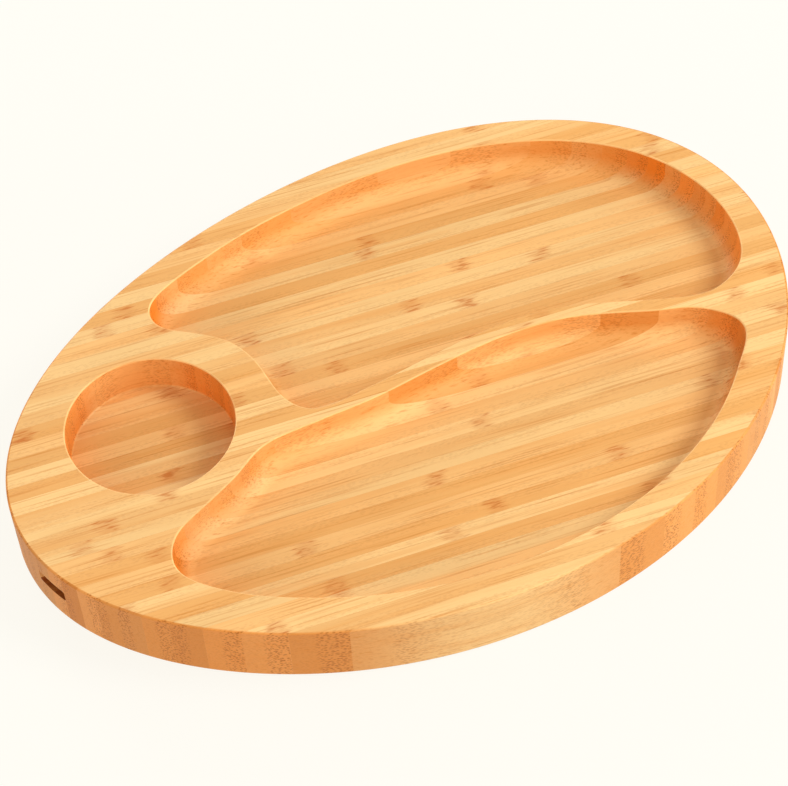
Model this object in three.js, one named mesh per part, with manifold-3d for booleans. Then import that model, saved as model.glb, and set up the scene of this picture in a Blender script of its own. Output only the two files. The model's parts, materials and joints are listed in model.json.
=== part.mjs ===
// Divided serving tray of laminated bamboo: strips on edge, glued side by side, then routed.
// Millimetres, +Z up, +X along the grain, origin at the bottom centre of the bounding box.
import * as THREE from "three";
import { mergeVertices } from "three/addons/utils/BufferGeometryUtils.js";
import Module from "manifold-3d";

const wasm = await Module();
wasm.setup();

// Driving dimensions of the blank
const TRAY_LENGTH = 298;
const TRAY_WIDTH = 206.5;
const TRAY_THICKNESS = 25;
const OUTLINE_TURN = THREE.MathUtils.degToRad(11.5);
const OUTLINE_LOBE = 0.027;
const OUTLINE_LOBE_ANGLE = THREE.MathUtils.degToRad(130);
const EDGE_EASING = 0.8;

// Driving dimensions of the lamination
const STRIP_COUNT = 35;
const GLUE_LINE = 0.1;

// Driving dimensions of the two compartments and the divider between them
const RIM_WIDTH = 11.5;
const COMPARTMENT_DEPTH = 13;
const COVE_RADIUS = 7;
const DIVIDER_WIDTH = 5.5;
const DIVIDER_OFFSET = -10.4;
const DIVIDER_WAVE = 13.7;

// Driving dimensions of the round well and the two slots in the end of the rim
const WELL_DIAMETER = 60;
const WELL_DEPTH = 15;
const WELL_LAND = 18;
const WELL_OFFSET = 6.7;
const END_LAND = 25;
const SLOT_HEIGHT = 5.2;
const SLOT_CORNER = 0.8;
const SLOT_DEPTH = 18;
const SLOT_RISE = 14;
// Each slot is two strips wide and centred on a glue joint, counted from the near side
const SLOT_JOINTS = [16, 11];

// Fineness of the round stretches
const OUTLINE_STEPS = 120;
const LIP_STEPS = 84;
const WELL_STEPS = 48;
const COVE_STEPS = 4;

const HALF_LENGTH = TRAY_LENGTH / 2;
const HALF_WIDTH = TRAY_WIDTH / 2;
const WELL_RADIUS = WELL_DIAMETER / 2;
const OVERSHOOT = 10;

// Outline: a turned ellipse with one soft three-sided lobe, before it is centred
function rawOutline(angle) {
  const swell = 1 + OUTLINE_LOBE * Math.cos(3 * angle - OUTLINE_LOBE_ANGLE);
  const along = HALF_LENGTH * swell * Math.cos(angle);
  const across = HALF_WIDTH * swell * Math.sin(angle);
  return new THREE.Vector2(along, across).rotateAround(new THREE.Vector2(), OUTLINE_TURN);
}

function roundSteps(count) {
  return Array.from({ length: count }, (_, i) => (2 * Math.PI * i) / count);
}

const outlineBox = new THREE.Box2().setFromPoints(roundSteps(OUTLINE_STEPS).map(rawOutline));
const outlineCentre = outlineBox.getCenter(new THREE.Vector2());

function outlinePoint(angle) {
  return rawOutline(angle).sub(outlineCentre);
}

const outline = roundSteps(OUTLINE_STEPS).map(outlinePoint);
const blankBox = new THREE.Box2().setFromPoints(outline);
const STRIP_PITCH = (blankBox.max.y - blankBox.min.y) / STRIP_COUNT;
const wellCentre = new THREE.Vector2(blankBox.min.x + END_LAND + WELL_RADIUS, WELL_OFFSET);

// A point inside the rim, at an angle of the outline in degrees, some rim widths in from the edge
function rimPoint(degrees, rims) {
  const angle = THREE.MathUtils.degToRad(degrees);
  const step = 1e-3;
  const tangent = outlinePoint(angle + step).sub(outlinePoint(angle - step)).normalize();
  const inward = new THREE.Vector2(-tangent.y, tangent.x);
  return outlinePoint(angle).addScaledVector(inward, rims * RIM_WIDTH);
}

// A point on the land round the well, some land widths out from the well's edge
function wellPoint(degrees, lands) {
  const angle = THREE.MathUtils.degToRad(degrees);
  const reach = WELL_RADIUS + lands * WELL_LAND;
  return new THREE.Vector2(Math.cos(angle), Math.sin(angle)).multiplyScalar(reach).add(wellCentre);
}

// A point on one side of the divider, whose middle line rises in one cosine wave
function dividerPoint(along, side) {
  const crest = 0.34;
  const reach = along < crest ? 0.64 : 0.45;
  const phase = THREE.MathUtils.clamp((along - crest) / reach, -1, 1);
  const rise = (DIVIDER_WAVE * (1 + Math.cos(Math.PI * phase))) / 2;
  const y = DIVIDER_OFFSET + rise + (side * DIVIDER_WIDTH) / 2;
  return new THREE.Vector2(along * HALF_LENGTH, y);
}

// The far compartment's lip runs along the rim, round the well and back along the divider
function farLip() {
  const rim = [[-17, 1.3], [-4, 1], [12, 1], [28, 1], [44, 1], [60, 1], [76, 1], [92, 1], [106, 1], [120, 1.2]];
  const well = [[71, 0.85], [54, 0.78], [37, 0.88], [20, 0.88], [5, 0.86], [-7, 1]];
  const divider = [-0.25, -0.1, 0.06, 0.2, 0.34, 0.46, 0.57, 0.68, 0.77];
  return [
    ...rim.map(([degrees, rims]) => rimPoint(degrees, rims)),
    ...well.map(([degrees, lands]) => wellPoint(degrees, lands)),
    ...divider.map((along) => dividerPoint(along, 1)),
  ];
}

// The near compartment's lip runs along the divider, under the well and back along the rim
function nearLip() {
  const divider = [0.71, 0.63, 0.54, 0.44, 0.34, 0.2, 0.06, -0.1, -0.26];
  const well = [[-34, 0.62], [-56, 0.5], [-76, 0.6], [-96, 1.1]];
  const rim = [
    [-152, 1.8], [-141, 1.4], [-128, 1.25], [-114, 1.1], [-100, 1],
    [-86, 0.95], [-72, 0.95], [-58, 1.05], [-46, 1.2], [-35, 1.35],
  ];
  return [
    ...divider.map((along) => dividerPoint(along, -1)),
    ...well.map(([degrees, lands]) => wellPoint(degrees, lands)),
    ...rim.map(([degrees, rims]) => rimPoint(degrees, rims)),
  ];
}

function smoothLoop(points) {
  const knots = points.map((p) => new THREE.Vector3(p.x, p.y, 0));
  const curve = new THREE.CatmullRomCurve3(knots, true, "centripetal");
  const loop = curve.getSpacedPoints(LIP_STEPS).slice(0, LIP_STEPS);
  return loop.map((p) => new THREE.Vector2(p.x, p.y));
}

function solidOf(geometry) {
  const bare = new THREE.BufferGeometry();
  const open = geometry.index ? geometry.toNonIndexed() : geometry;
  bare.setAttribute("position", open.getAttribute("position"));
  const merged = mergeVertices(bare, 1e-4);
  return new wasm.Manifold(
    new wasm.Mesh({
      numProp: 3,
      vertProperties: new Float32Array(merged.getAttribute("position").array),
      triVerts: new Uint32Array(merged.index.array),
    }),
  );
}

function geometryOf(solid) {
  const mesh = solid.getMesh();
  const geometry = new THREE.BufferGeometry();
  geometry.setAttribute("position", new THREE.BufferAttribute(new Float32Array(mesh.vertProperties), 3));
  geometry.setIndex(new THREE.BufferAttribute(new Uint32Array(mesh.triVerts), 1));
  geometry.computeVertexNormals();
  return geometry;
}

function blank() {
  const geometry = new THREE.ExtrudeGeometry(new THREE.Shape(outline), {
    depth: TRAY_THICKNESS - 2 * EDGE_EASING,
    bevelThickness: EDGE_EASING,
    bevelSize: EDGE_EASING,
    bevelOffset: -EDGE_EASING,
    bevelSegments: 1,
  });
  return solidOf(geometry.translate(0, 0, EDGE_EASING));
}

// A cutter with a coved foot: its outer size is the lip, its flat end is the compartment's floor
function compartmentCutter(lip) {
  const geometry = new THREE.ExtrudeGeometry(new THREE.Shape(smoothLoop(lip)), {
    depth: COMPARTMENT_DEPTH - COVE_RADIUS + OVERSHOOT,
    bevelThickness: COVE_RADIUS,
    bevelSize: COVE_RADIUS,
    bevelOffset: -COVE_RADIUS,
    bevelSegments: COVE_STEPS,
  });
  return solidOf(geometry.translate(0, 0, TRAY_THICKNESS - COMPARTMENT_DEPTH + COVE_RADIUS));
}

function wellCutter() {
  const height = WELL_DEPTH + OVERSHOOT;
  const geometry = new THREE.CylinderGeometry(WELL_RADIUS, WELL_RADIUS, height, WELL_STEPS);
  geometry.rotateX(Math.PI / 2);
  return solidOf(geometry.translate(wellCentre.x, wellCentre.y, TRAY_THICKNESS - WELL_DEPTH + height / 2));
}

// Where the rim's left end lies at a given place across the tray
function leftEdgeAt(y) {
  const near = outline.filter((p) => p.x < 0);
  return near.reduce((best, p) => (Math.abs(p.y - y) < Math.abs(best.y - y) ? p : best)).x;
}

// A flat slot with eased corners, run in from the rim along the grain and blind at its inner end
function slotCutter(joint) {
  const y = blankBox.min.y + joint * STRIP_PITCH;
  const reach = STRIP_PITCH - SLOT_CORNER;
  const rise = SLOT_HEIGHT / 2 - SLOT_CORNER;
  const quarter = Math.PI / 2;
  const shape = new THREE.Shape();
  shape.absarc(reach, rise, SLOT_CORNER, 0, quarter, false);
  shape.absarc(-reach, rise, SLOT_CORNER, quarter, 2 * quarter, false);
  shape.absarc(-reach, -rise, SLOT_CORNER, 2 * quarter, 3 * quarter, false);
  shape.absarc(reach, -rise, SLOT_CORNER, 3 * quarter, 4 * quarter, false);
  const geometry = new THREE.ExtrudeGeometry(shape, {
    depth: SLOT_DEPTH + OVERSHOOT,
    bevelEnabled: false,
    curveSegments: 4,
  });
  const across = new THREE.Vector3(0, 1, 0);
  const up = new THREE.Vector3(0, 0, 1);
  const inward = new THREE.Vector3(1, 0, 0);
  geometry.applyMatrix4(new THREE.Matrix4().makeBasis(across, up, inward));
  return solidOf(geometry.translate(leftEdgeAt(y) - OVERSHOOT, y, SLOT_RISE));
}

function routedBoard() {
  const cutters = [
    compartmentCutter(farLip()),
    compartmentCutter(nearLip()),
    wellCutter(),
    ...SLOT_JOINTS.map(slotCutter),
  ];
  return cutters.reduce((board, cutter) => board.subtract(cutter), blank());
}

// Three natural tones of bamboo, dealt out so that neighbours differ
const TONES = ["#f9cc88", "#f4bb72", "#ecab60"];

function stripMaterial(index) {
  const tone = TONES[((index * 7) % 11) % TONES.length];
  return new THREE.MeshStandardMaterial({ color: tone, roughness: 0.5, metalness: 0 });
}

function strip(board, index) {
  const middle = blankBox.min.y + (index + 0.5) * STRIP_PITCH;
  const box = new THREE.BoxGeometry(
    TRAY_LENGTH + 4 * OVERSHOOT,
    STRIP_PITCH - GLUE_LINE,
    TRAY_THICKNESS + 2 * OVERSHOOT,
  );
  const slab = solidOf(box.translate(0, middle, TRAY_THICKNESS / 2));
  const mesh = new THREE.Mesh(geometryOf(board.intersect(slab)), stripMaterial(index));
  mesh.name = "bamboo_strip_" + String(index + 1).padStart(2, "0");
  return mesh;
}

const tray = new THREE.Group();
tray.name = "divided_bamboo_tray";
const board = routedBoard();
for (let index = 0; index < STRIP_COUNT; index += 1) {
  tray.add(strip(board, index));
}

export default tray;
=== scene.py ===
"""Divided bamboo serving tray: strips on edge, glued side by side and routed, in a plain soft studio."""

import json
import math

import bmesh
import bpy
import numpy as np
from bpy.props import FloatProperty, FloatVectorProperty, PointerProperty
from mathutils import Matrix, Vector


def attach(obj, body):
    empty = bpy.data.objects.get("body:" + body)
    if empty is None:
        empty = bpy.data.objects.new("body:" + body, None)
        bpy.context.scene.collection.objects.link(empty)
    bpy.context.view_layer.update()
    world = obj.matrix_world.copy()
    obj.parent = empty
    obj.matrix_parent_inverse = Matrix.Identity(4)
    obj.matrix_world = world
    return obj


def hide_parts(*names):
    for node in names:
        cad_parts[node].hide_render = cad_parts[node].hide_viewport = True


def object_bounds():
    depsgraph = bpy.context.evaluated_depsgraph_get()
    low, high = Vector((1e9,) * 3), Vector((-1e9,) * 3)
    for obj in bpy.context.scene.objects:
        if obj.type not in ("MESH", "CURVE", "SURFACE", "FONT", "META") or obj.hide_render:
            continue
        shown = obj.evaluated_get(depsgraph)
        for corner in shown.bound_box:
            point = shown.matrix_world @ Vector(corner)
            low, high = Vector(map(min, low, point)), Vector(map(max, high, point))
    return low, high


bl_info = {
    "name": "Divided bamboo tray",
    "version": (1, 0, 0),
    "blender": (4, 5, 0),
    "location": "View3D > Sidebar > Tray",
    "description": "Builds a routed tray of laminated bamboo strips and a plain studio around it",
    "category": "Object",
}

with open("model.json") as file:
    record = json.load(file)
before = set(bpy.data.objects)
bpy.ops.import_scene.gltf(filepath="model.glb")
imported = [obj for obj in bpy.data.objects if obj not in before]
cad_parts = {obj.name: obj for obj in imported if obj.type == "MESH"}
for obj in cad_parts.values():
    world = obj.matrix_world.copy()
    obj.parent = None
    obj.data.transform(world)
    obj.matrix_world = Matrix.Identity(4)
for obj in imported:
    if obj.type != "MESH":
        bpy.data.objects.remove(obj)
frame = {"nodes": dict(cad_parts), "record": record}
CAD_LOW, CAD_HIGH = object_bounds()
STRIP_NODES = sorted(frame["nodes"])
STRIP_SLOTS = {part["node"]: part["material_slot"] for part in frame["record"]["subparts"]}

MM = 1000.0
THICKNESS = CAD_HIGH.z * MM
STRIP_LOW = CAD_LOW.y
STRIP_PITCH = (CAD_HIGH.y - CAD_LOW.y) / len(STRIP_NODES)
OVERSHOOT = 8.0
# Each slot is centred on a glue joint, counted from the near side
SLOT_JOINTS = (16, 11)
# Kinds of cut face, which are also the order of a strip's materials
ROUTED, SAWN, SLOT, LIP = 0, 1, 2, 3

# Fineness of the round stretches
OUTLINE_STEPS = 480
LIP_STEPS = 420
KNOT_STEPS = 40
WELL_STEPS = 192
SLOT_STEPS = 40
FLOOR_STEPS = 96
# Widths, in samples, over which a lip and its cove are smoothed
LIP_BLUR = 3.0
COVE_BLUR = 5.0
# Most of a lip's own radius that its cove takes up, and the samples to each side that it looks at
COVE_SHARE = 0.72
COVE_WINDOW = 8
# Radius at the foot of the well's wall, in millimetres
WELL_FOOT = 0.8
# Length of strip, in millimetres, that may hold one knuckle
KNUCKLE_RUN = 115.0

# Studio sizes in metres, apart from the sensor in millimetres and the picture in pixels
FLOOR_RADIUS = 6.0
FLOOR_DROP = 0.0003
LAMP_SIZE = 0.6
SENSOR_WIDTH = 36.0
PHOTO_WIDTH = 788
WHITE_LAMP = (1.0, 0.97, 0.92)
WARM_LAMP = (1.0, 0.58, 0.24)


# Colours and properties


def linear(hex_colour):
    """sRGB hex text turned to a linear colour: each channel through the sRGB curve."""
    channels = np.array([int(hex_colour[i : i + 2], 16) for i in (1, 3, 5)]) / 255
    low, high = channels / 12.92, ((channels + 0.055) / 1.055) ** 2.4
    return tuple(float(c) for c in np.where(channels <= 0.04045, low, high))


def length(name, default, description):
    """A size property in metres, from a default in millimetres."""
    return FloatProperty(
        name=name, description=description, default=default / MM, unit="LENGTH", precision=5
    )


def angle(name, default, description):
    """An angle property, from a default in degrees."""
    return FloatProperty(
        name=name, description=description, default=math.radians(default), subtype="ANGLE"
    )


def amount(name, default, description):
    """A plain number property."""
    return FloatProperty(name=name, description=description, default=default)


def colour(name, default, description):
    """A colour property, from sRGB hex text."""
    return FloatVectorProperty(
        name=name, description=description, default=linear(default), subtype="COLOR", min=0, max=1
    )


class TrayShape(bpy.types.PropertyGroup):
    """Sizes of the routed tray."""

    tray_length: length("Length", 298, "Long axis of the outline")
    tray_width: length("Width", 206.5, "Short axis of the outline")
    outline_turn: angle("Turn", 11.5, "Angle from the grain to the long axis")
    outline_lobe: amount("Lobe", 0.027, "Depth of the outline's three-sided lobe")
    lobe_angle: angle("Lobe angle", 130, "Where the lobe stands")
    edge_easing: length("Edge easing", 0.9, "Radius of the rim's rounded edges")
    lip_easing: length("Lip easing", 0.55, "Radius of the rounded lips of the hollows")
    rim_width: length("Rim width", 11.5, "Flat land between the rim and a compartment")
    compartment_depth: length("Compartment depth", 13, "Depth of both compartments")
    cove_radius: length("Cove radius", 7, "Radius between a compartment's wall and floor")
    divider_width: length("Divider width", 5.5, "Flat top of the divider")
    divider_offset: length("Divider offset", -10.4, "Where the divider starts, across the tray")
    divider_wave: length("Divider wave", 13.7, "Rise of the divider's wave")
    well_diameter: length("Well diameter", 60, "Diameter of the round well")
    well_depth: length("Well depth", 15, "Depth of the round well")
    well_land: length("Well land", 18, "Land between the well and a compartment")
    well_offset: length("Well offset", 6.7, "Place of the well across the tray")
    end_land: length("End land", 25, "Land between the well and the tray's end")
    slot_height: length("Slot height", 5.2, "Height of a slot in the rim")
    slot_corner: length("Slot corner", 0.8, "Radius of a slot's eased corners")
    slot_depth: length("Slot depth", 18, "Depth of a slot in the rim")
    slot_rise: length("Slot rise", 14, "Height of a slot's middle over the table")
    glue_gap: length("Glue gap", 0.02, "Gap that the glue line fills between strips")


class TrayFinish(bpy.types.PropertyGroup):
    """Colours of the oiled bamboo."""

    bamboo_light: colour("Light strip", "#FAD08E", "Palest strips of the lamination")
    bamboo_honey: colour("Honey strip", "#F7C47F", "Middle tone of the lamination")
    bamboo_dark: colour("Dark strip", "#F1B76E", "Darkest strips of the lamination")
    band: colour("Band", "#EAA352", "Soft deeper bands along a strip")
    fibre: colour("Fibre", "#CE7F2C", "Thin darker lines along a strip")
    bundle: colour("Bundle", "#A6570F", "Dark dots where fibre bundles are cut across")
    knuckle: colour("Knuckle", "#C8691A", "Brown scar where the cane had a joint")
    # The hollows' cut-fibre colour, also laid on their steep walls as painted shade
    routed_ends: colour("Routed ends", "#E6862A", "Cut fibres in the hollows, burnished by the cutter")
    sawn_ends: colour("Sawn ends", "#E69644", "Cut fibres round the rim, where the oil soaks in")
    # The lips' colour is a painted highlight: a pale line along every lip of the hollows
    lip_ends: colour("Sanded lips", "#FFD08C", "Lips of the hollows, sanded pale")
    # The slots' colour is painted shade: a dark brown over every face inside them
    slot_ends: colour("Slot ends", "#98501E", "Cut fibres in the slots, browned by the cutter")


class TrayStage(bpy.types.PropertyGroup):
    """Light, floor and camera."""

    floor_colour: colour("Floor", "#FFFDF5", "Plain pale floor")
    floor_glow: amount("Floor glow", 0.9, "Light that the floor gives off to the camera")
    floor_grey: amount("Floor grey", 0.1, "Share of the lamps' light that the floor sends back")
    sky_strength: amount("Fill", 0.53, "Strength of the even white fill")
    key_strength: amount("Key", 9.8, "Power of the soft key light in watts")
    back_strength: amount("Back", 7.0, "Power of the soft light behind in watts")
    warm_strength: amount("Warm fill", 5.0, "Power of the warm light at the left in watts")
    rim_strength: amount("Rim", 10.0, "Power of the low light at the right in watts")
    camera_pitch: angle("Pitch", 51, "How far the camera looks down")
    camera_roll: angle("Roll", -4, "How far the camera leans")
    camera_heading: angle("Heading", -16.14, "Turn of the view from across the grain")
    camera_place: FloatVectorProperty(
        name="Place",
        description="Where the camera stands",
        default=(-0.1558, -0.5211, 0.6810),
        subtype="XYZ",
        unit="LENGTH",
    )
    focal_pixels: amount("Focal length", 2400.0, "In pixels of the picture")


# Plan curves, in millimetres


def outline(shape, angles):
    """A turned ellipse whose radius swells by a small cosine of three times the angle."""
    swell = 1 + shape.outline_lobe * np.cos(3 * angles - shape.lobe_angle)
    along = shape.tray_length / 2 * MM * swell * np.cos(angles)
    across = shape.tray_width / 2 * MM * swell * np.sin(angles)
    c, s = math.cos(shape.outline_turn), math.sin(shape.outline_turn)
    return np.stack([c * along - s * across, s * along + c * across], axis=-1)


def outline_loop(shape):
    """The outline at even angles, moved so that its box is centred on the origin, and that move."""
    loop = outline(shape, np.linspace(0, 2 * np.pi, OUTLINE_STEPS, endpoint=False))
    centre = (loop.min(axis=0) + loop.max(axis=0)) / 2
    return loop - centre, centre


def outward(loop):
    """Unit normals of a closed counter-clockwise loop, from central differences."""
    tangent = np.roll(loop, -1, axis=0) - np.roll(loop, 1, axis=0)
    normal = np.stack([tangent[:, 1], -tangent[:, 0]], axis=-1)
    return normal / np.linalg.norm(normal, axis=-1, keepdims=True)


def rim_points(shape, places):
    """Points at outline angles in degrees, each some rim widths in along the outline's normal."""
    angles, rims = np.radians([p[0] for p in places]), np.array([p[1] for p in places])
    step = 1e-3
    tangent = outline(shape, angles + step) - outline(shape, angles - step)
    inward = np.stack([-tangent[:, 1], tangent[:, 0]], axis=-1)
    inward /= np.linalg.norm(inward, axis=-1, keepdims=True)
    return outline(shape, angles) - outline_loop(shape)[1] + inward * (rims * shape.rim_width * MM)[:, None]


def well_centre(shape):
    """The well's middle: one end land and one radius in from the tray's left end."""
    left = outline_loop(shape)[0][:, 0].min()
    return np.array([left + (shape.end_land + shape.well_diameter / 2) * MM, shape.well_offset * MM])


def well_points(shape, places):
    """Points round the well at angles in degrees, each some land widths out from its edge."""
    angles, lands = np.radians([p[0] for p in places]), np.array([p[1] for p in places])
    reach = (shape.well_diameter / 2 + lands * shape.well_land) * MM
    return well_centre(shape) + np.stack([np.cos(angles), np.sin(angles)], axis=-1) * reach[:, None]


def divider_points(shape, places, side):
    """Points on one side of the divider, whose middle line rises in one cosine wave."""
    along = np.array(places)
    crest, rising, falling = 0.34, 0.64, 0.45
    phase = np.clip((along - crest) / np.where(along < crest, rising, falling), -1, 1)
    rise = shape.divider_wave * (1 + np.cos(np.pi * phase)) / 2
    y = shape.divider_offset + rise + side * shape.divider_width / 2
    return np.stack([along * shape.tray_length / 2, y], axis=-1) * MM


def far_lip(shape):
    """Knots of the far compartment's lip: along the rim, round the well and back along the divider."""
    rim = [(-17, 1.3), (-4, 1), (12, 1), (28, 1), (44, 1), (60, 1), (76, 1), (92, 1), (106, 1), (120, 1.2)]
    well = [(71, 0.85), (54, 0.78), (37, 0.88), (20, 0.88), (5, 0.86), (-7, 1)]
    divider = [-0.25, -0.1, 0.06, 0.2, 0.34, 0.46, 0.57, 0.68, 0.77]
    return np.concatenate(
        [rim_points(shape, rim), well_points(shape, well), divider_points(shape, divider, 1)]
    )


def near_lip(shape):
    """Knots of the near compartment's lip: along the divider, under the well and back along the rim."""
    divider = [0.71, 0.63, 0.54, 0.44, 0.34, 0.2, 0.06, -0.1, -0.26]
    well = [(-34, 0.62), (-56, 0.5), (-76, 0.6), (-96, 1.1)]
    rim = [(-152, 1.8), (-141, 1.4), (-128, 1.25), (-114, 1.1), (-100, 1)]
    rim += [(-86, 0.95), (-72, 0.95), (-58, 1.05), (-46, 1.2), (-35, 1.35)]
    return np.concatenate(
        [divider_points(shape, divider, -1), well_points(shape, well), rim_points(shape, rim)]
    )


def smoothed(values, width):
    """A closed row of samples blurred by a Gaussian some samples wide, as a product of their spectrum."""
    waves = np.fft.rfftfreq(len(values)) * 2 * np.pi
    blur = np.exp(-((waves * width) ** 2) / 2)
    blur = blur.reshape((-1,) + (1,) * (values.ndim - 1))
    return np.fft.irfft(np.fft.rfft(values, axis=0) * blur, n=len(values), axis=0)


def smooth_loop(knots):
    """A closed centripetal spline through the knots, spaced evenly and lightly smoothed."""
    p0, p1, p2, p3 = (np.roll(knots, k, axis=0)[:, None, :] for k in (1, 0, -1, -2))
    pairs = ((p0, p1), (p1, p2), (p2, p3))
    gap = [np.linalg.norm(b - a, axis=-1, keepdims=True) ** 0.5 for a, b in pairs]
    t1 = gap[0]
    t2 = t1 + gap[1]
    t3 = t2 + gap[2]
    t = t1 + (t2 - t1) * np.linspace(0, 1, KNOT_STEPS, endpoint=False)[None, :, None]
    a1 = (t1 - t) / t1 * p0 + t / t1 * p1
    a2 = (t2 - t) / (t2 - t1) * p1 + (t - t1) / (t2 - t1) * p2
    a3 = (t3 - t) / (t3 - t2) * p2 + (t - t2) / (t3 - t2) * p3
    b1 = (t2 - t) / t2 * a1 + t / t2 * a2
    b2 = (t3 - t) / (t3 - t1) * a2 + (t - t1) / (t3 - t1) * a3
    dense = ((t2 - t) / (t2 - t1) * b1 + (t - t1) / (t2 - t1) * b2).reshape(-1, 2)
    steps = np.linalg.norm(np.roll(dense, -1, axis=0) - dense, axis=-1)
    walked = np.concatenate([[0], np.cumsum(steps)])
    closed = np.concatenate([dense, dense[:1]])
    even = np.linspace(0, walked[-1], LIP_STEPS, endpoint=False)
    loop = np.stack([np.interp(even, walked, closed[:, k]) for k in (0, 1)], axis=-1)
    return smoothed(loop, LIP_BLUR)


def cove_reach(loop, radius):
    """The cove's width along a lip: its radius, drawn in where the lip turns more tightly than that."""
    normal = outward(loop)
    step = np.linalg.norm(np.roll(loop, -1, axis=0) - loop, axis=-1)
    turn = np.roll(normal, -1, axis=0)
    bend = (normal[:, 0] * turn[:, 1] - normal[:, 1] * turn[:, 0]) / step
    limit = np.minimum(radius, COVE_SHARE / np.maximum(bend, 1e-6))
    lowest = np.min([np.roll(limit, k) for k in range(-COVE_WINDOW, COVE_WINDOW + 1)], axis=0)
    return smoothed(lowest, COVE_BLUR)


# Solids worked out as rings


def ringed_mesh(name, rings, kinds, end_kind):
    """A closed solid from rings of equal length: bands of quads, each of a kind, and flat ends."""
    count, around = rings.shape[:2]
    here = np.arange(around)
    beside = np.roll(here, -1)
    base = np.arange(count - 1)[:, None] * around
    quads = np.stack([base + here, base + beside, base + around + beside, base + around + here], axis=-1)
    ends = [here[::-1].tolist(), (here + (count - 1) * around).tolist()]
    faces = quads.reshape(-1, 4).tolist() + ends
    mesh = bpy.data.meshes.new(name)
    mesh.from_pydata(rings.reshape(-1, 3).tolist(), [], faces)
    face_kinds = np.append(np.repeat(kinds, around), [end_kind] * len(ends))
    mesh.polygons.foreach_set("material_index", face_kinds)
    mesh.update()
    return mesh


def lifted(loop, offsets, heights):
    """Rings of a loop moved along its normals by each offset and set at each height."""
    normal = outward(loop)
    flat = loop[None] + normal[None] * np.reshape(offsets, (len(heights), -1))[..., None]
    height = np.broadcast_to(np.array(heights)[:, None, None], flat.shape[:2] + (1,))
    return np.concatenate([flat, height], axis=-1)


def blank_mesh(shape):
    """The glued blank: the outline carried up a straight wall with a quarter round at both edges."""
    ease = shape.edge_easing * MM
    quarter = np.linspace(0, np.pi / 2, 6)
    low, low_height = -ease * (1 - np.sin(quarter)), ease * (1 - np.cos(quarter))
    offsets = np.concatenate([low, low[::-1]])
    heights = np.concatenate([low_height, THICKNESS - low_height[::-1]])
    rings = lifted(outline_loop(shape)[0], offsets, heights)
    return ringed_mesh("blank", rings, [SAWN] * (len(rings) - 1), ROUTED)


def pocket_mesh(name, loop, depth, cove, ease):
    """A routed hollow: floor, quarter-round cove, straight wall and a lip flared by a quarter round."""
    quarter = np.linspace(0, np.pi / 2, 10)
    reach = cove_reach(loop, cove)
    floor = THICKNESS - depth
    cove_offsets = -(1 - np.sin(quarter))[:, None] * reach[None]
    lip_offsets = np.repeat((ease * (1 - np.cos(quarter)))[:, None], len(loop), axis=1)
    lip_heights = THICKNESS - ease + ease * np.sin(quarter)
    offsets = np.concatenate([cove_offsets, lip_offsets, lip_offsets[-1:]])
    heights = np.concatenate([floor + cove * (1 - np.cos(quarter)), lip_heights, [THICKNESS + OVERSHOOT]])
    # The lip's faces are of the lip kind, whose material paints a pale highlight over them
    kinds = [ROUTED] * len(quarter) + [LIP] * (len(quarter) - 1) + [ROUTED]
    return ringed_mesh(name, lifted(loop, offsets, heights), kinds, ROUTED)


def well_mesh(shape):
    """The well's hollow: a circle with a straight wall and a nearly sharp foot."""
    angles = np.linspace(0, 2 * np.pi, WELL_STEPS, endpoint=False)
    spokes = np.stack([np.cos(angles), np.sin(angles)], axis=-1)
    circle = well_centre(shape) + spokes * shape.well_diameter / 2 * MM
    return pocket_mesh("well", circle, shape.well_depth * MM, WELL_FOOT, shape.lip_easing * MM)


def slot_mesh(shape, joint):
    """A slot two strips wide: a rounded rectangle carried along the grain from outside to its blind end."""
    angles = np.linspace(0, 2 * np.pi, SLOT_STEPS, endpoint=False) + np.pi / SLOT_STEPS
    radius = shape.slot_corner * MM
    reach = STRIP_PITCH * MM - radius
    rise = shape.slot_height / 2 * MM - radius
    y = (STRIP_LOW + joint * STRIP_PITCH) * MM
    across = y + radius * np.cos(angles) + reach * np.sign(np.cos(angles))
    height = shape.slot_rise * MM + radius * np.sin(angles) + rise * np.sign(np.sin(angles))
    loop = outline_loop(shape)[0]
    left = loop[loop[:, 0] < 0]
    order = np.argsort(left[:, 1])
    edge = np.interp(y, left[order, 1], left[order, 0])
    along = np.array([edge - OVERSHOOT, edge + shape.slot_depth * MM])
    along = np.repeat(along[:, None], SLOT_STEPS, axis=1)
    rings = np.stack([along, np.tile(across, (2, 1)), np.tile(height, (2, 1))], axis=-1)
    return ringed_mesh("slot", rings, [SLOT], SLOT)


def routed_board(shape):
    """The blank less its two compartments, the well and the two slots."""
    cove, depth, ease = (v * MM for v in (shape.cove_radius, shape.compartment_depth, shape.lip_easing))
    cutters = [
        pocket_mesh("far_compartment", smooth_loop(far_lip(shape)), depth, cove, ease),
        pocket_mesh("near_compartment", smooth_loop(near_lip(shape)), depth, cove, ease),
        well_mesh(shape),
        *[slot_mesh(shape, joint) for joint in SLOT_JOINTS],
    ]
    board = bpy.data.objects.new("board", blank_mesh(shape))
    tools = [bpy.data.objects.new(mesh.name, mesh) for mesh in cutters]
    for item in [board, *tools]:
        bpy.context.scene.collection.objects.link(item)
        for _ in (ROUTED, SAWN, SLOT, LIP):
            item.data.materials.append(None)
    for tool in tools:
        cut = board.modifiers.new(tool.name, "BOOLEAN")
        cut.operation, cut.solver, cut.object = "DIFFERENCE", "EXACT", tool
    graph = bpy.context.evaluated_depsgraph_get()
    routed = bpy.data.meshes.new_from_object(board.evaluated_get(graph))
    for item in [board, *tools]:
        bpy.data.objects.remove(item)
    return routed


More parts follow.
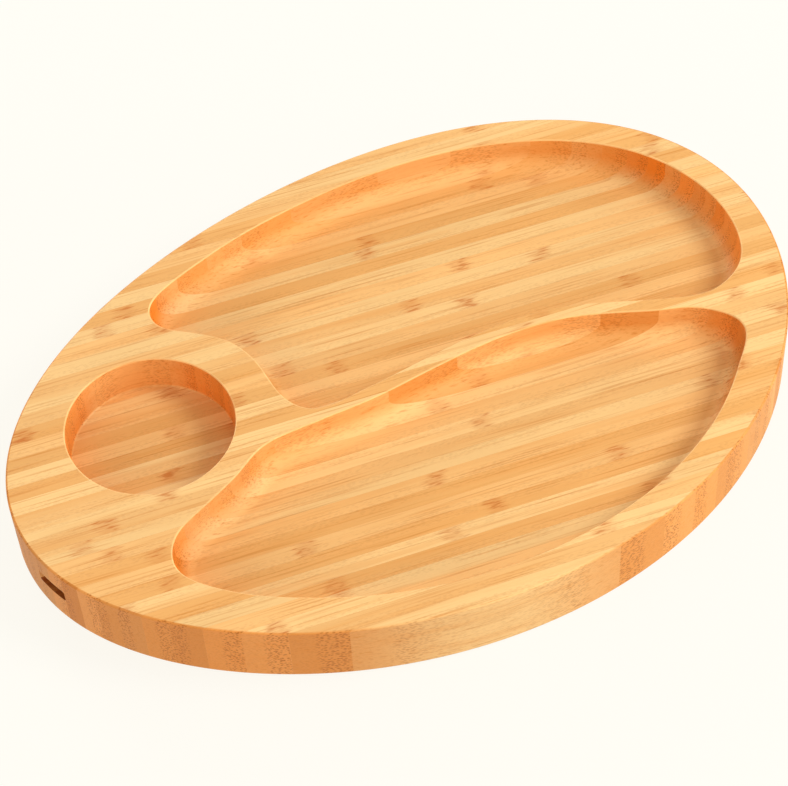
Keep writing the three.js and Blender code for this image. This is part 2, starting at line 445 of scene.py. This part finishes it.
def sawn_strip(routed, name, low, high):
    """The part of the routed board between two saw cuts across the tray, closed there, in metres."""
    body = bmesh.new()
    body.from_mesh(routed)
    for place, side in ((low, -1), (high, 1)):
        cut = bmesh.ops.bisect_plane(
            body,
            geom=[*body.verts, *body.edges, *body.faces],
            dist=1e-4,
            plane_co=(0, place, 0),
            plane_no=(0, side, 0),
            clear_outer=True,
        )
        edges = [e for e in cut["geom_cut"] if isinstance(e, bmesh.types.BMEdge) and e.is_boundary]
        bmesh.ops.edgeloop_fill(body, edges=edges)
    bmesh.ops.recalc_face_normals(body, faces=body.faces)
    mesh = bpy.data.meshes.new(name)
    body.to_mesh(mesh)
    body.free()
    mesh.transform(Matrix.Scale(1 / MM, 4))
    mesh.polygons.foreach_set("use_smooth", np.ones(len(mesh.polygons), dtype=bool))
    mesh.set_sharp_from_angle(angle=math.radians(40))
    # Edges along the saw cuts stay sharp, so that shading doesn't run over them
    coords = np.empty(len(mesh.vertices) * 3)
    mesh.vertices.foreach_get("co", coords)
    ends = np.empty(len(mesh.edges) * 2, dtype=np.int32)
    mesh.edges.foreach_get("vertices", ends)
    sharp = np.empty(len(mesh.edges), dtype=bool)
    mesh.edges.foreach_get("use_edge_sharp", sharp)
    edge_y = coords[1::3][ends].reshape(-1, 2) * MM
    for place in (low, high):
        sharp |= (np.abs(edge_y - place) < 1e-3).all(axis=1)
    mesh.edges.foreach_set("use_edge_sharp", sharp)
    return mesh


# Finish


def put(tree, kind, inputs=None, **settings):
    """Adds one node with its settings and its inputs, each a value, a socket or a node's first output."""
    made = tree.nodes.new(kind)
    for name, value in settings.items():
        setattr(made, name, value)
    for key, value in (inputs or {}).items():
        if isinstance(value, bpy.types.Node):
            value = value.outputs[0]
        if isinstance(value, bpy.types.NodeSocket):
            tree.links.new(value, made.inputs[key])
        else:
            made.inputs[key].default_value = value
    return made


def grained(length_mm, width_mm):
    """Cells per metre along and across the fibres, from a cell's real length and width."""
    return (MM / length_mm, MM / width_mm, MM / width_mm)


def oiled_bamboo(name, tone, cut_and_painted_tone, cut_range, steep_painted_share, speck, finish):
    """Sanded and oiled bamboo: fibres run along X, so long faces show lines and cut ends show dots."""
    material = bpy.data.materials.new(name)
    material.use_nodes = True
    tree = material.node_tree
    tree.nodes.clear()
    number_kind, ramp_kind, vector_kind = "ShaderNodeMath", "ShaderNodeMapRange", "ShaderNodeVectorMath"
    noise_kind, mix_kind, chance_kind = "ShaderNodeTexNoise", "ShaderNodeMix", "ShaderNodeTexWhiteNoise"
    soft = {"interpolation_type": "SMOOTHSTEP"}
    place = put(tree, "ShaderNodeTexCoord").outputs["Object"]
    axes = put(tree, "ShaderNodeSeparateXYZ", {0: place})
    along = axes.outputs["X"]

    # Each strip has its own number, and from it its own shade, density and shift of the pattern.
    # The two limits keep the outermost faces on the first and the last strip.
    across = put(tree, number_kind, {0: axes.outputs["Y"], 1: STRIP_LOW}, operation="SUBTRACT")
    across = put(tree, number_kind, {0: across, 1: STRIP_PITCH}, operation="DIVIDE")
    across = put(tree, number_kind, {0: across, 1: 0.001}, operation="MAXIMUM")
    across = put(tree, number_kind, {0: across, 1: len(STRIP_NODES) - 0.001}, operation="MINIMUM")
    number = put(tree, number_kind, {0: across}, operation="FLOOR")
    share = put(tree, number_kind, {0: across}, operation="FRACT")
    chance = put(tree, chance_kind, {"W": number}, noise_dimensions="1D").outputs["Color"]
    chances = put(tree, "ShaderNodeSeparateColor", {0: chance})
    shift = put(tree, vector_kind, {0: chance, 1: (3.0, 1.0, 1.0)}, operation="MULTIPLY")
    moved = put(tree, vector_kind, {0: place, 1: shift}, operation="ADD")

    # Lines 0.7 mm apart and 45 mm long, bands 4.8 mm apart and 110 mm long, clouds 40 mm wide
    fine_at = put(tree, vector_kind, {0: moved, 1: grained(45, 0.7)}, operation="MULTIPLY")
    fine = put(tree, noise_kind, {"Vector": fine_at, "Scale": 1.0, "Detail": 2.0, "Roughness": 0.6})
    band_at = put(tree, vector_kind, {0: moved, 1: grained(110, 4.8)}, operation="MULTIPLY")
    band = put(tree, noise_kind, {"Vector": band_at, "Scale": 1.0, "Detail": 3.0, "Roughness": 0.55})
    cloud = put(tree, noise_kind, {"Vector": moved, "Scale": MM / 40, "Detail": 2.0})

    # Fibre bundles 0.55 mm apart, broken every 2 mm, that crowd towards what was the cane's skin
    bundle_at = put(tree, vector_kind, {0: moved, 1: grained(2, 0.55)}, operation="MULTIPLY")
    bundle = put(tree, "ShaderNodeTexVoronoi", {"Vector": bundle_at, "Scale": 1.0}).outputs["Distance"]
    dots = put(tree, ramp_kind, {0: bundle, 1: 0.5, 2: 0.25, 3: 0.0, 4: 1.0})
    side = put(tree, number_kind, {0: chances.outputs[2], 1: 0.4}, operation="GREATER_THAN")
    side = put(tree, number_kind, {0: share, 1: side}, operation="SUBTRACT")
    side = put(tree, number_kind, {0: side}, operation="ABSOLUTE")
    crowd = put(tree, ramp_kind, {0: side, 1: 0.42, 2: 0.6, 3: 0.2, 4: 1.0}, **soft)
    dots = put(tree, number_kind, {0: dots, 1: crowd}, operation="MULTIPLY")

    # How far a face cuts across the fibres
    facing = put(tree, "ShaderNodeSeparateXYZ", {0: put(tree, "ShaderNodeNewGeometry").outputs["Normal"]})
    ends = put(tree, number_kind, {0: facing.outputs["X"]}, operation="ABSOLUTE")
    low, high = cut_range
    ends = put(tree, ramp_kind, {0: ends, 1: low, 2: high}, **soft)
    # Steep faces take the cut colour by their steepness alone: painted shade on the walls of the hollows
    # and a painted highlight on the lips
    steep_painted_light = put(tree, ramp_kind, {0: facing.outputs["Z"], 1: 0.7, 2: 0.15, 3: 0.0, 4: steep_painted_share})
    ends = put(tree, number_kind, {0: ends, 1: steep_painted_light}, operation="MAXIMUM")

    # The strip's own tone, a little uneven
    shade = put(tree, ramp_kind, {0: chances.outputs[0], 3: 0.95, 4: 1.03})
    mottle = put(tree, ramp_kind, {0: cloud, 1: 0.3, 2: 0.7, 3: 0.96, 4: 1.03})
    value = put(tree, number_kind, {0: shade, 1: mottle}, operation="MULTIPLY")
    body = put(tree, "ShaderNodeHueSaturation", {"Value": value, "Color": (*tone, 1)})

    # Bands and lines on the long faces
    bands = put(tree, ramp_kind, {0: band, 1: 0.45, 2: 0.75, 3: 0.0, 4: 0.4}, **soft)
    grain = put(tree, mix_kind, {0: bands, 6: body, 7: (*finish.band, 1)}, data_type="RGBA").outputs[2]
    lines = put(tree, ramp_kind, {0: fine, 1: 0.54, 2: 0.74, 3: 0.0, 4: 0.6})
    grain = put(tree, mix_kind, {0: lines, 6: grain, 7: (*finish.fibre, 1)}, data_type="RGBA").outputs[2]

    # Cut ends drink more oil, so they are deeper in colour, with the bundles as dark dots. The same mix
    # paints shade on the steep walls and in the slots, and a highlight on the lips
    thirst = put(tree, ramp_kind, {0: chances.outputs[1], 3: 0.6, 4: 1.0})
    depth = put(tree, number_kind, {0: ends, 1: thirst}, operation="MULTIPLY")
    cut = put(tree, mix_kind, {0: depth, 6: grain, 7: (*cut_and_painted_tone, 1)}, data_type="RGBA").outputs[2]
    deal = put(tree, ramp_kind, {0: chances.outputs[2], 3: -0.12, 4: 0.08})
    deal = put(tree, number_kind, {0: deal, 1: ends, 2: 1.0}, operation="MULTIPLY_ADD")
    cut = put(tree, "ShaderNodeHueSaturation", {"Value": deal, "Color": cut})
    strength = put(tree, ramp_kind, {0: ends, 3: 0.18 * speck, 4: speck})
    specks = put(tree, number_kind, {0: dots, 1: strength}, operation="MULTIPLY")
    cut = put(tree, mix_kind, {0: specks, 6: cut, 7: (*finish.bundle, 1)}, data_type="RGBA").outputs[2]

    # Knuckles: in most runs of a strip one ragged scar about 8 mm long, with dark dashes
    start = put(tree, number_kind, {0: chances.outputs[1], 1: 9.0}, operation="MULTIPLY")
    run = put(tree, number_kind, {0: along, 1: MM / KNUCKLE_RUN, 2: start}, operation="MULTIPLY_ADD")
    cell = put(tree, number_kind, {0: run}, operation="FLOOR")
    pair = put(tree, "ShaderNodeCombineXYZ", {0: number, 1: cell})
    luck = put(tree, chance_kind, {"Vector": pair}, noise_dimensions="2D")
    luck = put(tree, number_kind, {0: luck, 1: 0.22}, operation="GREATER_THAN")
    away = put(tree, number_kind, {0: run}, operation="FRACT")
    away = put(tree, number_kind, {0: away, 1: KNUCKLE_RUN, 2: -KNUCKLE_RUN / 2}, operation="MULTIPLY_ADD")
    wander = put(tree, ramp_kind, {0: fine, 1: 0.3, 2: 0.7, 3: -3.0, 4: 3.0})
    away = put(tree, number_kind, {0: away, 1: wander}, operation="ADD")
    away = put(tree, number_kind, {0: away}, operation="ABSOLUTE")
    scar = put(tree, ramp_kind, {0: away, 1: 5.0, 2: 1.5, 3: 0.0, 4: 1.0}, **soft)
    scar = put(tree, number_kind, {0: scar, 1: luck}, operation="MULTIPLY")
    flat = put(tree, ramp_kind, {0: facing.outputs["Z"], 1: 0.5, 2: 0.9})
    scar = put(tree, number_kind, {0: scar, 1: flat}, operation="MULTIPLY")
    dash_at = put(tree, vector_kind, {0: moved, 1: grained(6, 0.9)}, operation="MULTIPLY")
    dash = put(tree, noise_kind, {"Vector": dash_at, "Scale": 1.0, "Detail": 2.0})
    dash = put(tree, ramp_kind, {0: dash, 1: 0.5, 2: 0.66, 3: 0.2, 4: 0.72})
    scar = put(tree, number_kind, {0: scar, 1: dash}, operation="MULTIPLY")
    final = put(tree, mix_kind, {0: scar, 6: cut, 7: (*finish.knuckle, 1)}, data_type="RGBA").outputs[2]

    rough = put(tree, ramp_kind, {0: fine, 3: 0.42, 4: 0.6})
    raised = put(tree, number_kind, {0: dots, 1: -0.6, 2: fine}, operation="MULTIPLY_ADD")
    relief = put(tree, "ShaderNodeBump", {"Strength": 0.3, "Distance": 0.0002, "Height": raised})
    oil = {"IOR": 1.46, "Specular IOR Level": 0.22}
    skin = {"Base Color": final, "Roughness": rough, "Normal": relief, **oil}
    surface = put(tree, "ShaderNodeBsdfPrincipled", skin)
    put(tree, "ShaderNodeOutputMaterial", {"Surface": surface})
    return material


class TRAY_OT_strips(bpy.types.Operator):
    """Route the glued blank and saw it into its bamboo strips"""

    bl_idname = "tray.strips"
    bl_label = "Bamboo strips"

    def execute(self, context):
        shape, finish = context.scene.tray_shape, context.scene.tray_finish
        woods = {slot: self.woods(slot, finish) for slot in sorted(set(STRIP_SLOTS.values()))}
        routed = routed_board(shape)
        gap = shape.glue_gap * MM / 2
        for number, node in enumerate(STRIP_NODES):
            low = (STRIP_LOW + number * STRIP_PITCH) * MM
            high = low + STRIP_PITCH * MM
            near = low - OVERSHOOT if number == 0 else low + gap
            far = high + OVERSHOOT if number == len(STRIP_NODES) - 1 else high - gap
            mesh = sawn_strip(routed, node + "_sawn", near, far)
            strip = bpy.data.objects.new(node + "_sawn", mesh)
            context.scene.collection.objects.link(strip)
            for wood in woods[STRIP_SLOTS[node]]:
                mesh.materials.append(wood)
            weighted = strip.modifiers.new("flat_faces_stay_flat", "WEIGHTED_NORMAL")
            weighted.keep_sharp = True
            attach(strip, "root")
            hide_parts(node)
        bpy.data.meshes.remove(routed)
        return {"FINISHED"}

    def woods(self, slot, finish):
        """One tone of bamboo as routed faces with painted shade on their steep walls, sawn faces, slots in
        painted shade and lips in a painted highlight, in the order of their numbers.
        """
        tone = getattr(finish, slot)
        faces = (
            # Routed faces: deeper cut ends, and painted shade on the steep walls
            ("routed_", tone, finish.routed_ends, (0.15, 0.85), 0.42, 0.65),
            ("sawn_", tone, finish.sawn_ends, (0.03, 0.28), 0.0, 0.7),
            # Slots: painted shade, the dark brown given as both the tone and the cut colour
            ("browned_", finish.slot_ends, finish.slot_ends, (0.03, 0.28), 0.0, 0.3),
            # Lips: a painted highlight, pale over nearly the whole lip
            ("sanded_", tone, finish.lip_ends, (0.0, 0.2), 1.0, 0.1),
        )
        return [oiled_bamboo(kind + slot, *look, finish) for kind, *look in faces]


class TRAY_OT_stage(bpy.types.Operator):
    """Add the pale floor, the soft light and the camera"""

    bl_idname = "tray.stage"
    bl_label = "Floor, light and camera"

    def execute(self, context):
        stage = context.scene.tray_stage
        self.add_floor(context, stage)
        self.add_light(context, stage)
        self.add_camera(context, stage)
        context.scene.view_settings.view_transform = "Standard"
        return {"FINISHED"}

    def add_floor(self, context, stage):
        """A wide round floor just under the tray."""
        angles = np.linspace(0, 2 * np.pi, FLOOR_STEPS, endpoint=False)
        ring = np.stack([np.cos(angles), np.sin(angles), np.zeros(FLOOR_STEPS)], axis=-1) * FLOOR_RADIUS
        ring[:, 2] = -FLOOR_DROP
        mesh = bpy.data.meshes.new("floor")
        mesh.from_pydata(ring.tolist(), [], [list(range(FLOOR_STEPS))])
        paper = bpy.data.materials.new("matt_studio_paper")
        paper.use_nodes = True
        surface = paper.node_tree.nodes["Principled BSDF"]
        surface.inputs["Base Color"].default_value = (*[stage.floor_grey] * 3, 1)
        surface.inputs["Roughness"].default_value = 0.9
        surface.inputs["Specular IOR Level"].default_value = 0.0
        surface.inputs["Emission Color"].default_value = (*stage.floor_colour, 1)
        surface.inputs["Emission Strength"].default_value = stage.floor_glow
        mesh.materials.append(paper)
        floor = bpy.data.objects.new("floor", mesh)
        # The tray's light from below comes from the sky, not from the glowing floor
        floor.visible_diffuse = False
        context.scene.collection.objects.link(floor)

    def add_light(self, context, stage):
        """An even white sky, a soft key and a low light at the right, one behind and a warm one left."""
        world = bpy.data.worlds.new("even_white_sky")
        world.use_nodes = True
        sky = world.node_tree.nodes["Background"]
        sky.inputs["Color"].default_value = (1.0, 0.985, 0.95, 1)
        sky.inputs["Strength"].default_value = stage.sky_strength
        context.scene.world = world
        lamps = (
            ("key", stage.key_strength, Vector((0.95, -0.35, 0.95)), WHITE_LAMP),
            ("back", stage.back_strength, Vector((-0.25, 1.2, 0.36)), WHITE_LAMP),
            ("rim", stage.rim_strength, Vector((1.2, -0.75, 0.1)), WHITE_LAMP),
            ("warm_fill", stage.warm_strength, Vector((-0.8, -1.0, 0.5)), WARM_LAMP),
        )
        for name, power, place, tint in lamps:
            light = bpy.data.lights.new(name, "AREA")
            light.shape = "DISK"
            light.size = LAMP_SIZE
            light.energy = power
            light.color = tint
            lamp = bpy.data.objects.new(name, light)
            lamp.location = place
            lamp.rotation_mode = "QUATERNION"
            lamp.rotation_quaternion = (-place).to_track_quat("-Z", "Y")
            context.scene.collection.objects.link(lamp)

    def add_camera(self, context, stage):
        """A long lens that looks down over the near edge, set by pitch, roll and heading."""
        data = bpy.data.cameras.new("camera")
        data.sensor_width = SENSOR_WIDTH
        data.lens = stage.focal_pixels * data.sensor_width / PHOTO_WIDTH
        camera = bpy.data.objects.new("camera", data)
        c, s = math.cos(stage.camera_pitch), math.sin(stage.camera_pitch)
        forward, up = Vector((0, c, -s)), Vector((0, s, c))
        turn = Matrix.Rotation(stage.camera_heading, 3, "Z")
        lean = Matrix.Rotation(stage.camera_roll, 3, -forward)
        axes = Matrix((Vector((1, 0, 0)), up, -forward)).transposed()
        camera.matrix_world = Matrix.Translation(stage.camera_place) @ (turn @ lean @ axes).to_4x4()
        context.scene.collection.objects.link(camera)
        context.scene.camera = camera


class TRAY_PT_panel(bpy.types.Panel):
    """Lists the tray's pieces and stage"""

    bl_idname = "TRAY_PT_panel"
    bl_label = "Divided bamboo tray"
    bl_space_type = "VIEW_3D"
    bl_region_type = "UI"
    bl_category = "Tray"

    def draw(self, context):
        for operator in (TRAY_OT_strips, TRAY_OT_stage):
            self.layout.operator(operator.bl_idname)
        for group in (context.scene.tray_shape, context.scene.tray_finish, context.scene.tray_stage):
            column = self.layout.column()
            for name in group.__annotations__:
                column.prop(group, name)


CLASSES = (TrayShape, TrayFinish, TrayStage, TRAY_OT_strips, TRAY_OT_stage, TRAY_PT_panel)


def register():
    """Adds the classes and the three groups of properties."""
    for item in CLASSES:
        bpy.utils.register_class(item)
    bpy.types.Scene.tray_shape = PointerProperty(type=TrayShape)
    bpy.types.Scene.tray_finish = PointerProperty(type=TrayFinish)
    bpy.types.Scene.tray_stage = PointerProperty(type=TrayStage)


def unregister():
    """Takes out what register adds."""
    del bpy.types.Scene.tray_stage
    del bpy.types.Scene.tray_finish
    del bpy.types.Scene.tray_shape
    for item in reversed(CLASSES):
        bpy.utils.unregister_class(item)


def main():
    """Builds the tray and its stage."""
    register()
    bpy.ops.tray.strips()
    bpy.ops.tray.stage()


if __name__ == "__main__":
    main()
